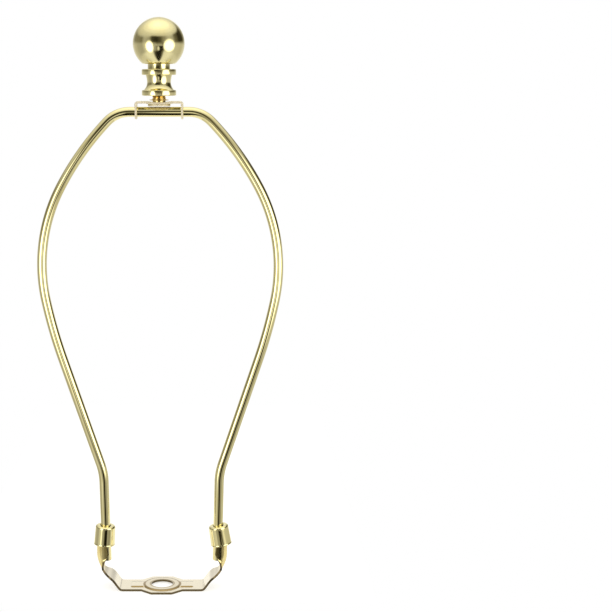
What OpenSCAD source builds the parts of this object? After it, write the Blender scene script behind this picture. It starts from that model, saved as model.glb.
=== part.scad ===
// A detachable lamp harp: a sprung wire loop that stands on a saddle, carries a swivel bracket
// with a threaded stud at its top, and is closed by a ball finial.
// Origin: on the axis of the saddle's pipe hole, at the underside of its base. +Z is up,
// X runs along the saddle, and the flat of the loop lies in the X-Z plane. Millimetres, degrees.

/* [Loop size] */
// Height from the top of the saddle's base to the top of the bracket's plate
harp_h = 228.6; // [222:0.1:236]
// Distance between the two wire ends, centre to centre
end_gap = 52.6; // [51.8:0.1:53.4]
// Height of the wire ends above the underside of the saddle
wire_end_z = 13.4; // [12.4:0.1:14.6]

/* [Wire] */
// Diameter of the round wire
wire_d = 4.5; // [4.2:0.05:4.6]
// Half of the straight stretch at the top
top_half = 13.5; // [13.2:0.1:14.4]
// Radius of the shoulder bends
shoulder_r = 14.1; // [13:0.1:16]
// How steeply the wire leaves the shoulder, below the horizontal
shoulder_a = 46.1; // [45:0.1:48]
// Radius of the long upper sides
upper_r = 133.6; // [126:1:142]
// Steepness where the upper side becomes the belly
upper_a = 61.9; // [60:0.1:64]
// Radius of the belly, the widest stretch
belly_r = 78.3; // [75:0.5:81]
// Steepness where the belly becomes the lower side
belly_a = 101.4; // [100:0.1:103]
// Radius of the gently curved start of the lower side
lower_r = 235; // [205:1:265]
// Lean of the straight lower sides, from the vertical
taper_a = 18.5; // [17.6:0.1:19.4]
// Radius of the bends above the legs
bend_r = 30.5; // [26:0.5:34]
// Inward lean of the legs towards their ends, from the vertical
leg_lean = 1.3; // [0.8:0.1:1.8]

/* [Saddle] */
// Thickness of the saddle's sheet
sheet_t = 1.0; // [0.9:0.05:1.05]
// Diameter of the slip hole for the lamp pipe
pipe_hole_d = 10.4; // [10.3:0.05:11]
// Outer diameter of the raised ring round the hole
ring_d = 18; // [17:0.1:18.5]
// Height of the raised ring
ring_h = 0.5; // [0.3:0.05:0.6]
// Width of the base strip
strip_w = 13.5; // [13:0.1:14.5]
// Length of the centre pad along the strip
pad_l = 19.4; // [19:0.1:21]
// Depth of the centre pad across the strip
pad_w = 22; // [20:0.1:24]
// Length of the pad's flat front and back edges
pad_flat = 9.8; // [8:0.1:12]
// Distance from the centre to the end of each raised tongue
tongue_x = 15.2; // [14:0.1:16]
// Width of the raised tongues
tongue_w = 6.8; // [6:0.1:7.5]
// Height of the raised tongues
tongue_h = 0.35; // [0.2:0.05:0.5]
// Distance from the centre to the bend at the foot of each arm
foot_x = 18.6; // [18.3:0.1:19.1]
// Bend radius at the foot, at mid thickness
foot_r = 2.1; // [1.8:0.1:2.8]
// Steepness of the arm above the foot
foot_a = 54.5; // [52:0.5:57]
// Radius of the bend that flattens the arm
shelf_r = 9.5; // [8:0.1:10.5]
// Least steepness of the arm
shelf_a = 29.2; // [27.5:0.1:31]
// Radius of the bend below the neck
neck_r = 7.5; // [6.5:0.1:8.5]
// Steepness at the neck
neck_a = 49.5; // [47:0.5:52]
// Radius of the bend from the neck up into the trough
cup_r = 12.9; // [12:0.1:13.5]
// Half width of the strip at the neck
neck_half = 3.4; // [3.2:0.05:3.6]
// Distance from the wire's axis out to the middle of the trough's wall, at the wire end
trough_gap = 4.2; // [4:0.05:4.3]
// Half width of the trough, at mid thickness
trough_half = 2.95; // [2.9:0.01:3]
// Height of the trough's top edge
trough_top = 27.3; // [26.4:0.1:27.7]
// How far the trough's flanks run on past the half round
flank_l = 1.8; // [1.5:0.05:2]

/* [Sleeves] */
// Length of a sleeve
sleeve_l = 9.4; // [9:0.05:9.6]
// Outer diameter at the top
sleeve_top_d = 9.4; // [9.3:0.05:9.6]
// Outer diameter at the bottom
sleeve_bottom_d = 9.9; // [9.8:0.05:10.1]
// Thickness of the sleeve's wall
sleeve_t = 0.45; // [0.4:0.01:0.5]
// Diameter of the mouth at the necked top
sleeve_mouth_d = 5.5; // [5.3:0.05:6]
// Height of a sleeve's top edge
sleeve_z = 30.5; // [30.3:0.1:30.9]
// Lean of the left sleeve from the vertical, bottom outwards
left_lean = 4.3; // [3.8:0.1:5.6]
// Lean of the right sleeve from the vertical, bottom outwards
right_lean = 9.2; // [7.8:0.1:9.6]

/* [Bracket] */
// Thickness of the bracket's sheet
bracket_t = 1.0; // [0.9:0.05:1.05]
// Width over both ears
bracket_w = 21.9; // [21.4:0.1:22.6]
// Depth of the bracket's plate, front to back
plate_w = 9; // [8.6:0.1:9.6]
// Height of the plate's top above the wire's axis
plate_rise = 4.8; // [4.75:0.01:5]
// Depth of the dish pressed into the plate
dish_h = 0.4; // [0.2:0.05:0.45]
// Outer radius of the ears' rounded lower ends
ear_r = 3.3; // [3.2:0.05:3.7]
// Running clearance of the wire in the ears, on the radius
ear_gap = 0.08; // [0.05:0.01:0.1]

/* [Stud] */
// Thread diameter of the stud
thread_d = 6.35; // [6.3:0.01:6.4]
// Running clearance of the stud's thread in the finial, on the radius
thread_gap = 0.05; // [0.03:0.01:0.08]
// Height of the stud above the plate
stud_h = 11.4; // [11:0.1:12]
// Diameter of the thin collar
collar_d = 8.8; // [8.4:0.1:9.2]
// Thickness of the thin collar
collar_t = 0.7; // [0.6:0.05:0.9]
// Height of the collar's underside above the dish
collar_z = 0.6; // [0.5:0.05:0.9]
// Diameter of the round head under the plate
head_d = 10.2; // [9.8:0.1:10.8]
// Thickness of the round head
head_t = 0.9; // [0.7:0.05:0.92]
// Diameter of the shank through the plate
shank_d = 5; // [4.8:0.1:5.4]
// Running clearance of the shank in the plate, on the radius
shank_gap = 0.05; // [0.03:0.01:0.08]

/* [Finial] */
// Height of the finial's underside above the plate's top
finial_gap = 2.5; // [2.4:0.05:2.8]
// Diameter of both flanges
flange_d = 15.6; // [15.2:0.1:16.2]
// Thickness of the lower flange
low_flange_t = 2.5; // [2.3:0.05:2.7]
// Thickness of the upper flange
top_flange_t = 2.6; // [2.4:0.05:2.8]
// Height of the waist between the flanges
waist_h = 6.7; // [6.5:0.1:7.1]
// Diameter of the waist where it leaves the lower flange
waist_low_d = 14.1; // [13.8:0.1:14.6]
// Smallest diameter of the waist
waist_d = 10.8; // [10.5:0.1:11.2]
// Diameter of the waist under the upper flange
waist_top_d = 12; // [11.8:0.1:12.4]
// Height of the narrowest place above the lower flange
waist_z = 3.4; // [3.1:0.1:3.7]
// Diameter of the neck under the ball
ball_neck_d = 10.1; // [9.8:0.1:10.4]
// Height of the neck
ball_neck_h = 2.3; // [2.1:0.05:2.5]
// Diameter of the ball
ball_d = 23.4; // [22.8:0.1:24]
// Height of the ball's centre above its flat underside
ball_rise = 9.15; // [8.95:0.05:9.35]
// Diameter of the spigot that holds the ball
spigot_d = 6; // [5.5:0.1:6.5]
// Length of the spigot
spigot_l = 5; // [4:0.1:6]
// Depth of the threaded hole in the finial
finial_bore_l = 9.6; // [9.5:0.05:10.5]

/* [Hidden] */
$fn = 96;
brass = [0.83, 0.74, 0.50];
eps = 0.01;

wire_r = wire_d / 2;
plate_z = sheet_t + harp_h;
wire_top_z = plate_z - plate_rise;
dish_z = plate_z - dish_h;
dish_r = 4.7;
dish_rim_r = 7.2;
finial_z = plate_z + finial_gap;
ball_z = finial_z + low_flange_t + waist_h + top_flange_t + ball_neck_h;

// A bent path is a list of stretches: [length, 0] is straight, and [radius, turn] is an arc
// that turns left where turn is positive. A direction of 0 points along +X.
function heading(a) = [cos(a), sin(a)];
function turned(v, a) = [v.x * cos(a) - v.y * sin(a), v.x * sin(a) + v.y * cos(a)];
function arc_centre(s, a) = sign(s[1]) * s[0] * heading(a + 90);
function move_along(s, a) =
    s[1] == 0 ? s[0] * heading(a) : arc_centre(s, a) - turned(arc_centre(s, a), s[1]);
// Where each stretch of a path starts, and last where the path ends: [point, direction]
function path_marks(path, start, a0) =
    [for (i = 0, p = start, a = a0;
          i <= len(path);
          p = p + (i < len(path) ? move_along(path[i], a) : [0, 0]),
          a = a + (i < len(path) ? path[i][1] : 0),
          i = i + 1) [p, a]];
function path_end(path, start, a0) = path_marks(path, start, a0)[len(path)];

// The three long arcs of the side grow with the loop. Their radii are given for this height.
drawn_h = 228.6;
loop_k = harp_h / drawn_h;
// Right side of the wire, from the end of its straight top down to the wire end
upper_path = [
    [shoulder_r, -shoulder_a],
    [loop_k * upper_r, shoulder_a - upper_a],
    [loop_k * belly_r, upper_a - belly_a],
    [loop_k * lower_r, belly_a - 90 - taper_a],
];
leg_bend = [bend_r, taper_a - leg_lean];
taper_dir = heading(-90 - taper_a);
leg_dir = heading(-90 - leg_lean);
// The straight lower side and the leg take up what the arcs leave between the top and the end
left_over = [end_gap / 2, wire_end_z]
    - path_end(upper_path, [top_half, wire_top_z], 0)[0] - move_along(leg_bend, -90 - taper_a);
wire_det = taper_dir.x * leg_dir.y - taper_dir.y * leg_dir.x;
taper_l = (left_over.x * leg_dir.y - left_over.y * leg_dir.x) / wire_det;
leg_l = (taper_dir.x * left_over.y - taper_dir.y * left_over.x) / wire_det;
side_path = concat(upper_path, [[taper_l, 0], leg_bend, [leg_l, 0]]);
joint_gap = 0.1;
joint_l = 0.6;
joint_swell = 0.02;

// Middle of the saddle's sheet, from the end of the flat base out and up into the trough
base_half = 17.5;
trough_x = end_gap / 2 + trough_gap;
function arm_path(slope_l, cup_l) = [
    [foot_x - base_half, 0],
    [foot_r, foot_a],
    [slope_l, 0],
    [shelf_r, shelf_a - foot_a],
    [neck_r, neck_a - shelf_a],
    [cup_r, 90 - neck_a],
    [cup_l, 0],
];
arm_start = [base_half, sheet_t / 2];
slope_l = (trough_x - path_end(arm_path(0, 0), arm_start, 0)[0].x) / cos(foot_a);
cup_l = trough_top - path_end(arm_path(slope_l, 0), arm_start, 0)[0].y;
saddle_path = arm_path(slope_l, cup_l);
cup_start_x = path_marks(saddle_path, arm_start, 0)[5][0].x;

// Sections along the arm: [point, direction, place in the cup from 0 at its foot to 1 at its
// top, place in the trough from 0 to 1]
arm_steps = [1, 4, 1, 3, 3, 8, 4];
arm_marks = path_marks(saddle_path, arm_start, 0);
arm_sections = [
    for (i = [0:len(saddle_path) - 1], k = [0:arm_steps[i] - (i == len(saddle_path) - 1 ? 0 : 1)])
        let (f = k / arm_steps[i], s = saddle_path[i], m = arm_marks[i],
             part = s[1] == 0 ? [f * s[0], 0] : [s[0], f * s[1]])
        [m[0] + (k == 0 ? [0, 0] : move_along(part, m[1])), m[1] + part[1],
         i < 5 ? 0 : i == 5 ? f : 1, i < 6 ? 0 : f]
];

function clamp01(x) = min(1, max(0, x));
function eased(x) = (1 - cos(180 * clamp01(x))) / 2;
// Half width of the arm's flat strip: full at the foot, narrow at the neck
narrowing_x = foot_x + 5;
function strip_half(x) =
    strip_w / 2 - (strip_w / 2 - neck_half) * eased((x - narrowing_x) / (cup_start_x + 1.2 - narrowing_x));
// How far a section is curled, in degrees each way, and how far its flanks run on straight
function curl(u) = max(0.5, 90 * clamp01((u - 0.1) / 0.55));
function flank(u, v) = flank_l * clamp01((u - 0.2) / 0.8) * (1 - 0.6 * v);
// The two sides of a section as points across [Y] and inwards from the middle of the sheet
half_points = 8;
function section_side(s, off) =
    let (u = s[2], v = s[3], q = curl(u),
         across = u == 0 ? strip_half(s[0].x)
                : neck_half + (trough_half - neck_half) * eased(u / 0.6),
         r = across / sin(q), arc = r * q * PI / 180, run = u == 0 ? 0 : flank(u, v))
    [for (j = [-half_points:half_points])
        let (w = abs(j) / half_points * (arc + run), a = min(w / arc, 1) * q, t = max(w - arc, 0))
        [sign(j) * (r * sin(a) + t * cos(a) - off * sin(a)), r * (1 - cos(a)) + t * sin(a) + off * cos(a)]];
// One ring of points round a section, placed in space
function section_ring(s) =
    let (outer = section_side(s, -sheet_t / 2), inner = section_side(s, sheet_t / 2),
         n = len(inner), loop = concat(outer, [for (j = [n - 1:-1:0]) inner[j]]))
    [for (c = loop) [s[0].x - c[1] * sin(s[1]), c[0], s[0].y + c[1] * cos(s[1])]];

module arm() {
    rings = [for (s = arm_sections) section_ring(s)];
    n = len(rings[0]);
    last = (len(rings) - 1) * n;
    polyhedron(
        points = [for (ring = rings, p = ring) p],
        faces = concat(
            [for (i = [0:len(rings) - 2], j = [0:n - 1])
                let (a = i * n + j, b = i * n + (j + 1) % n) each [[a, b + n, b], [a, a + n, b + n]]],
            [for (j = [0:n / 2 - 2])
                let (k = n - 1 - j) each [[j, k - 1, k], [j, j + 1, k - 1]]],
            [for (j = [0:n / 2 - 2])
                let (k = n - 1 - j)
                each [[last + j, last + k, last + k - 1], [last + j, last + k - 1, last + j + 1]]]),
        convexity = 6);
}

module pad_outline() {
    x = pad_l / 2;
    y = pad_w / 2;
    polygon([
        [x, strip_w / 2], [pad_flat / 2, y], [-pad_flat / 2, y], [-x, strip_w / 2],
        [-x, -strip_w / 2], [-pad_flat / 2, -y], [pad_flat / 2, -y], [x, -strip_w / 2],
    ]);
}

// The tongue's rise from the flat, as a wedge-ended bar of the given width
module tongue(width) {
    translate([0, width / 2, 0])
        rotate([90, 0, 0])
            linear_extrude(width)
                polygon([[0, 0], [tongue_x, 0], [tongue_x - 1.2, tongue_h], [0, tongue_h]]);
}

// The raised centre: the ring and the two tongues, grown or shrunk by the given margin
module raised_centre(margin) {
    cylinder(h = ring_h, r1 = ring_d / 2 + margin, r2 = ring_d / 2 - 0.6 + margin);
    for (side = [0, 1])
        mirror([side, 0, 0]) tongue(tongue_w + 2 * margin);
}

module saddle() {
    color(brass)
    difference() {
        union() {
            linear_extrude(sheet_t) {
                square([2 * base_half, strip_w], center = true);
                pad_outline();
            }
            translate([0, 0, sheet_t]) raised_centre(0);
            for (side = [0, 1])
                mirror([side, 0, 0]) arm();
        }
        raised_centre(-0.4);
        translate([0, 0, -eps]) cylinder(h = sheet_t + ring_h + 2 * eps, d = pipe_hole_d);
    }
}

// Round wire along a bent path, drawn in the X-Y plane. A collar a hair wider than the wire closes
// each joint between two stretches, which stop just short of one another inside it.
module bent_wire(path, start, a0, r) {
    marks = path_marks(path, start, a0);
    last = len(path) - 1;
    for (i = [0:last]) {
        s = path[i];
        cut = s[1] == 0 ? joint_gap : joint_gap / s[0] * 180 / PI;
        tail = i == last ? 0 : cut;
        translate(marks[i][0])
            rotate(marks[i][1]) {
                rotate([0, 90, 0]) cylinder(h = joint_l, r = r + joint_swell, center = true);
                if (s[1] == 0)
                    translate([cut, 0, 0])
                        rotate([0, 90, 0]) cylinder(h = s[0] - cut - tail, r = r);
                else
                    translate([0, sign(s[1]) * s[0]])
                        rotate(s[1] > 0 ? cut - 90 : 90 + s[1] + tail)
                            rotate_extrude(angle = abs(s[1]) - cut - tail)
                                translate([s[0], 0]) circle(r);
            }
    }
}

module harp_wire() {
    color(brass)
    translate([0, 0, wire_top_z]) {
        rotate([0, 90, 0]) cylinder(h = 2 * (top_half - joint_gap), r = wire_r, center = true);
        for (side = [0, 1])
            mirror([side, 0, 0])
                rotate([90, 0, 0]) bent_wire(side_path, [top_half, 0], 0, wire_r);
    }
}

// A sleeve standing on its wide lower end, with its necked top up
module sleeve() {
    top = sleeve_top_d / 2;
    bottom = sleeve_bottom_d / 2;
    round_r = 1.1;
    inner_r = round_r - sleeve_t;
    mouth = sleeve_mouth_d / 2;
    rotate_extrude()
        polygon(concat(
            [[bottom - sleeve_t, 0], [bottom + 0.1, 0], [bottom + 0.1, 0.3], [bottom - 0.02, 0.6]],
            [for (a = [0:15:90]) [top - round_r + round_r * cos(a), sleeve_l - round_r + round_r * sin(a)]],
            [[mouth, sleeve_l], [mouth, sleeve_l - sleeve_t]],
            [for (a = [90:-15:0])
                [top - round_r + inner_r * cos(a), sleeve_l - round_r + inner_r * sin(a)]]));
}

// A sleeve on the right leg, hanging from its top with its lower end tilted outwards
module placed_sleeve(lean) {
    drop = sleeve_z - wire_end_z;
    translate([end_gap / 2 + drop * tan(leg_lean), 0, sleeve_z])
        rotate([0, -lean, 0])
            translate([0, 0, -sleeve_l]) sleeve();
}

module sleeve_left() { color(brass) mirror([1, 0, 0]) placed_sleeve(left_lean); }

module sleeve_right() { color(brass) placed_sleeve(right_lean); }

// Side view of an ear: a round end about the wire that widens up to the plate
module ear_outline() {
    circle(ear_r);
    polygon([
        [-ear_r, 0], [ear_r, 0], [plate_w / 2, plate_rise - 2], [plate_w / 2, plate_rise + eps],
        [-plate_w / 2, plate_rise + eps], [-plate_w / 2, plate_rise - 2],
    ]);
}

// End view of a square-cornered channel with rounded bends, open below
module channel_outline(width, top, r) {
    half = width / 2;
    translate([-half, -ear_r - 1]) square([width, ear_r + 1 + top - r]);
    translate([-half + r, top - r - eps]) square([width - 2 * r, r + eps]);
    for (x = [-half + r, half - r])
        translate([x, top - r]) circle(r);
}

// The sheet of the plate's dish, flat in the middle and rising to the plate at its rim
module dish() {
    rotate_extrude()
        polygon([
            [0, -dish_h], [dish_r, -dish_h], [dish_rim_r, 0],
            [dish_rim_r, -bracket_t], [dish_r, -bracket_t - dish_h], [0, -bracket_t - dish_h],
        ]);
}

module swivel_bracket() {
    bend_out = bracket_t + 0.4;
    color(brass)
    translate([0, 0, wire_top_z])
    difference() {
        union() {
            intersection() {
                rotate([90, 0, 0])
                    translate([0, 0, -plate_w / 2])
                        linear_extrude(plate_w)
                            difference() {
                                channel_outline(bracket_w, plate_rise, bend_out);
                                channel_outline(bracket_w - 2 * bracket_t, plate_rise - bracket_t, 0.4);
                                translate([-dish_rim_r, 0]) square([2 * dish_rim_r, plate_rise + 1]);
                            }
                rotate([90, 0, 90])
                    translate([0, 0, -bracket_w]) linear_extrude(2 * bracket_w) ear_outline();
            }
            difference() {
                translate([-dish_rim_r, -plate_w / 2, plate_rise - bracket_t])
                    cube([2 * dish_rim_r, plate_w, bracket_t]);
                translate([0, 0, plate_rise - bracket_t - 1])
                    cylinder(h = bracket_t + 2, r = dish_rim_r - eps);
            }
            intersection() {
                translate([0, 0, plate_rise]) dish();
                translate([-dish_rim_r, -plate_w / 2, 0]) cube([2 * dish_rim_r, plate_w, 2 * plate_rise]);
            }
        }
        translate([0, 0, plate_rise - 3]) cylinder(h = 4, d = shank_d + 2 * shank_gap);
        translate([-bracket_w, 0, 0]) rotate([0, 90, 0]) cylinder(h = 2 * bracket_w, r = wire_r + ear_gap);
    }
}

module threaded_stud() {
    under = -bracket_t;
    collar = collar_d / 2;
    thread = thread_d / 2;
    top = stud_h + dish_h;
    color(brass)
    translate([0, 0, dish_z])
        rotate_extrude()
            polygon([
                [0, under - head_t], [head_d / 2 - 0.4, under - head_t], [head_d / 2, under - head_t + 0.4],
                [head_d / 2, under], [shank_d / 2, under], [shank_d / 2, 0],
                [thread - 0.2, 0], [thread - 0.2, collar_z], [collar, collar_z + collar_t / 2 - 0.1],
                [collar, collar_z + collar_t / 2 + 0.1], [thread, collar_z + collar_t],
                [thread, top - 0.5], [thread - 0.5, top], [0, top],
            ]);
}

// Points along an arc between two directions
function arc_points(c, r, a0, a1, n) =
    [for (i = [0:n]) let (a = a0 + (a1 - a0) * i / n) c + r * heading(a)];

module finial_base() {
    flange = flange_d / 2;
    low = low_flange_t;
    top = low + waist_h;
    neck = top + top_flange_t;
    chamfer = 0.3;
    narrow = [waist_d / 2, low + waist_z];
    // The waist is two arcs that meet at its narrowest place with an upright tangent
    low_x = waist_low_d / 2 - narrow.x;
    low_r = (low_x * low_x + waist_z * waist_z) / (2 * low_x);
    top_x = waist_top_d / 2 - narrow.x;
    top_run = waist_h - waist_z;
    top_r = (top_x * top_x + top_run * top_run) / (2 * top_x);
    color(brass)
    translate([0, 0, finial_z])
    difference() {
        rotate_extrude()
            polygon(concat(
                [[0, 0], [flange - chamfer, 0], [flange, chamfer], [flange, low - chamfer], [flange - chamfer, low]],
                arc_points([narrow.x + low_r, narrow.y], low_r, 180 + asin(waist_z / low_r), 180, 6),
                arc_points([narrow.x + top_r, narrow.y], top_r, 180, 180 - asin(top_run / top_r), 6),
                [[flange - chamfer, top], [flange, top + chamfer], [flange, neck - chamfer],
                 [flange - chamfer, neck], [ball_neck_d / 2, neck], [ball_neck_d / 2, neck + ball_neck_h],
                 [spigot_d / 2, neck + ball_neck_h], [spigot_d / 2, neck + ball_neck_h + spigot_l],
                 [0, neck + ball_neck_h + spigot_l]]));
        translate([0, 0, -eps]) cylinder(h = finial_bore_l + eps, r = thread_d / 2 + thread_gap);
        translate([0, 0, -eps])
            cylinder(h = 0.5 + eps, r1 = thread_d / 2 + thread_gap + 0.5 + eps, r2 = thread_d / 2 + thread_gap);
    }
}

module finial_ball() {
    r = ball_d / 2;
    color(brass)
    translate([0, 0, ball_z])
    difference() {
        translate([0, 0, ball_rise]) sphere(r);
        translate([-r, -r, -ball_d]) cube([ball_d, ball_d, ball_d]);
        translate([0, 0, -eps]) cylinder(h = spigot_l + 0.4 + eps, d = spigot_d);
    }
}

saddle();
harp_wire();
sleeve_left();
sleeve_right();
swivel_bracket();
threaded_stud();
finial_base();
finial_ball();
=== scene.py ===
# %% [markdown]
# # A lamp harp with its brass finial
# A harp is the wire loop that carries a lampshade round a bulb. Its eight pieces come from the
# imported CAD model, which fixes their sizes, apart from the reach of the saddle's flanks. This
# lesson remodels each piece as a finer mesh with soft edges, gives it a metal finish, and lights
# it like a small product shot.

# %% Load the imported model
import math

import bpy
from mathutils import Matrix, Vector


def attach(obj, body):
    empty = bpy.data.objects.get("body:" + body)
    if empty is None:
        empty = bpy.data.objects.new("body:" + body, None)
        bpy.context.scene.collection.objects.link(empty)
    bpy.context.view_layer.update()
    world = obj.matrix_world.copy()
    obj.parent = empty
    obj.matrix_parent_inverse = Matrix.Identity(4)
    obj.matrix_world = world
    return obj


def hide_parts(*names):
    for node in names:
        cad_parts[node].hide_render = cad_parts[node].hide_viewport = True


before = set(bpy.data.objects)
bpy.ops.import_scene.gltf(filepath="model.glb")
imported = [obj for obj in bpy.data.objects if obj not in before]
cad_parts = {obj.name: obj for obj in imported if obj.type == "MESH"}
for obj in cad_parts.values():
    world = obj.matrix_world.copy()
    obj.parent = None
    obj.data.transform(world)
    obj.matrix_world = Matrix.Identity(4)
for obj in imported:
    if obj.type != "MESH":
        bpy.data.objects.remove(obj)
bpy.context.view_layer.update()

# %% [markdown]
# ## Sizes
# The pieces' sizes are in millimetres and have the names that a maker would use. Blender works in
# metres, so every point goes through one factor. The studio's own sizes are in metres.

# %% Sizes that several pieces share
MM = 0.001
WIRE_R = 2.25
SHEET = 1.0
END_GAP = 52.6
WIRE_END_Z = 13.4
PLATE_Z = 229.6
PLATE_RISE = 4.8
WIRE_TOP_Z = PLATE_Z - PLATE_RISE
DISH = 0.4
FINIAL_Z = PLATE_Z + 2.5
TURNS = 112


def only(piece):
    """Makes one object the active and only selected one."""
    bpy.ops.object.select_all(action="DESELECT")
    piece.select_set(True)
    bpy.context.view_layer.objects.active = piece


def heading(angle):
    """The direction of an angle in degrees, as a flat vector."""
    return Vector((math.cos(math.radians(angle)), math.sin(math.radians(angle))))


# %% [markdown]
# ## Paths of straights and arcs
# Wire and strip are bent over formers, so their middle line is a chain of straights and arcs that
# run smoothly into each other. A stretch is (length, 0) for a straight and (radius, turn) for an
# arc. One small function walks along such a chain, and the wire and the saddle both use it.

# %% Walk along a bent path
def arc_middle(point, angle, radius, turn):
    """The centre of an arc that starts at a point in a direction."""
    return point + math.copysign(radius, turn) * heading(angle + 90)


def along(stretch, point, angle, share):
    """Where a share of one stretch ends, and in which direction."""
    size, turn = stretch
    if turn == 0:
        return point + share * size * heading(angle), angle
    middle = arc_middle(point, angle, size, turn)
    arm = point - middle
    bend = math.radians(turn * share)
    turned = Vector((arm.x * math.cos(bend) - arm.y * math.sin(bend),
                     arm.x * math.sin(bend) + arm.y * math.cos(bend)))
    return middle + turned, angle + turn * share


def marks(path, point, angle):
    """The start of each stretch and the path's end, each with its direction."""
    found = [(point, angle)]
    for stretch in path:
        found.append(along(stretch, *found[-1], 1))
    return found


# %% [markdown]
# ## Chains of points, and spinning them
# Round pieces are turned on a lathe. Blender's Spin does the same: a half profile is drawn as a
# chain of extruded points and spun round Z. A whole turned piece could also come from stacked
# cylinders, but a profile keeps its fillets, and the fillets catch the light.

# %% Round the corners of a profile
def rounded(corners, steps=6):
    """Turns (radius, height, fillet) corners into a chain of points with rounded corners."""
    chain = []
    for i, (x, z, fillet) in enumerate(corners):
        here = Vector((x, z))
        if not fillet:
            chain.append(here)
            continue
        back = (Vector(corners[i - 1][:2]) - here).normalized()
        ahead = (Vector(corners[(i + 1) % len(corners)][:2]) - here).normalized()
        half = back.angle(ahead) / 2
        middle = here + (back + ahead).normalized() * fillet / math.sin(half)
        first = here + back * fillet / math.tan(half) - middle
        last = here + ahead * fillet / math.tan(half) - middle
        sweep = first.angle(last)
        for k in range(steps + 1):
            t = k / steps
            chain.append(middle + (first * math.sin((1 - t) * sweep) + last * math.sin(t * sweep))
                         / math.sin(sweep))
    return chain


def arc_chain(middle, radius, start, end, steps):
    """Points of an arc between two directions."""
    return [Vector(middle) + radius * heading(start + (end - start) * k / steps)
            for k in range(steps + 1)]


# %% [markdown]
# Spin needs points in edit mode. A new plane is merged to one point, that point is moved to the
# start of the profile, and each extrusion draws the next point and the edge to it. Spinning the
# open chain all the way round leaves a seam and double points on the axis, which are merged.

# %% Draw a chain of points and spin it
def spun(name, chain, closed=False, steps=TURNS):
    """A turned piece about Z from its half profile, in millimetres."""
    bpy.ops.object.select_all(action="DESELECT")
    bpy.ops.mesh.primitive_plane_add(size=MM, location=(0, 0, 0))
    piece = bpy.context.object
    piece.name = name
    bpy.ops.object.mode_set(mode="EDIT")
    bpy.ops.mesh.select_all(action="SELECT")
    bpy.ops.mesh.merge(type="CENTER")
    bpy.ops.transform.translate(value=(chain[0].x * MM, 0, chain[0].y * MM))
    for here, there in zip(chain, chain[1:] + (chain[:1] if closed else [])):
        step = (there - here) * MM
        bpy.ops.mesh.extrude_region_move(TRANSFORM_OT_translate={"value": (step.x, 0, step.y)})
    bpy.ops.mesh.select_all(action="SELECT")
    bpy.ops.mesh.remove_doubles(threshold=1e-7)
    bpy.ops.mesh.select_all(action="SELECT")
    bpy.ops.mesh.spin(steps=steps, angle=math.tau, center=(0, 0, 0), axis=(0, 0, 1))
    bpy.ops.mesh.select_all(action="SELECT")
    bpy.ops.mesh.remove_doubles(threshold=1e-6)
    bpy.ops.mesh.normals_make_consistent(inside=False)
    bpy.ops.object.mode_set(mode="OBJECT")
    return piece


def smooth(piece, angle=40):
    """Shades smooth, with edges that are sharper than the angle kept."""
    only(piece)
    bpy.ops.object.shade_smooth_by_angle(angle=math.radians(angle))
    print(piece.name, len(piece.data.polygons), "faces")
    return piece


def place(piece, move=(0, 0, 0), lean=0):
    """Leans a piece about Y, moves it, and puts the place into its mesh."""
    only(piece)
    piece.rotation_euler = (0, math.radians(lean), 0)
    piece.location = Vector(move) * MM
    bpy.ops.object.transform_apply(location=True, rotation=True, scale=True)
    return piece


# %% [markdown]
# ## The finial's base
# A turned brass foot with two flanges, a hollow waist and a neck. Its hole is seen only when the
# finial is off, but it is drawn too, without its thread. The waist is two arcs that meet upright
# at its narrowest place.

# %% Finial base
FLANGE_R = 7.8
LOW_T = 2.5
TOP_T = 2.6
WAIST_H = 6.7
WAIST_Z = 3.4
WAIST_R = 5.4
WAIST_LOW_R = 7.05
WAIST_TOP_R = 6.0
NECK_R = 5.05
NECK_H = 2.3
BORE_R = 3.225
BORE_L = 9.6


def waist_arc(run, reach):
    """The radius of an arc that leaves the waist upright and reaches out over a height."""
    return (reach * reach + run * run) / (2 * reach)


low_arc = waist_arc(WAIST_Z, WAIST_LOW_R - WAIST_R)
top_run = WAIST_H - WAIST_Z
top_arc = waist_arc(top_run, WAIST_TOP_R - WAIST_R)
top_z = LOW_T + WAIST_H
neck_z = top_z + TOP_T
low_turn = math.degrees(math.asin(WAIST_Z / low_arc))
top_turn = math.degrees(math.asin(top_run / top_arc))
foot = rounded([(0, BORE_L, 0), (BORE_R, BORE_L, 0), (BORE_R, 0.5, 0), (BORE_R + 0.5, 0, 0.1),
                (FLANGE_R, 0, 0.4), (FLANGE_R, LOW_T, 0.45), (WAIST_LOW_R, LOW_T, 0)], 5)
waist = (arc_chain((WAIST_R + low_arc, LOW_T + WAIST_Z), low_arc, 180 + low_turn, 180, 12)
         + arc_chain((WAIST_R + top_arc, LOW_T + WAIST_Z), top_arc, 180, 180 - top_turn, 12)[1:])
head = rounded([(WAIST_TOP_R, top_z, 0), (FLANGE_R, top_z, 0.4), (FLANGE_R, neck_z, 0.45),
                (NECK_R, neck_z, 0.25), (NECK_R, neck_z + NECK_H, 0), (0, neck_z + NECK_H, 0)], 5)
finial_base = spun("finial_base_turned", foot[:-1] + waist + head[1:])
smooth(place(finial_base, (0, 0, FINIAL_Z)), 30)

# %% [markdown]
# ## The ball
# The ball is a true sphere, cut flat where it meets the neck. A primitive sphere has no flat, so
# the ball is spun from one arc and a short line, like the rest of the finial.

# %% Finial ball
BALL_R = 11.7
BALL_RISE = 9.15
BALL_Z = FINIAL_Z + neck_z + NECK_H
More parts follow.
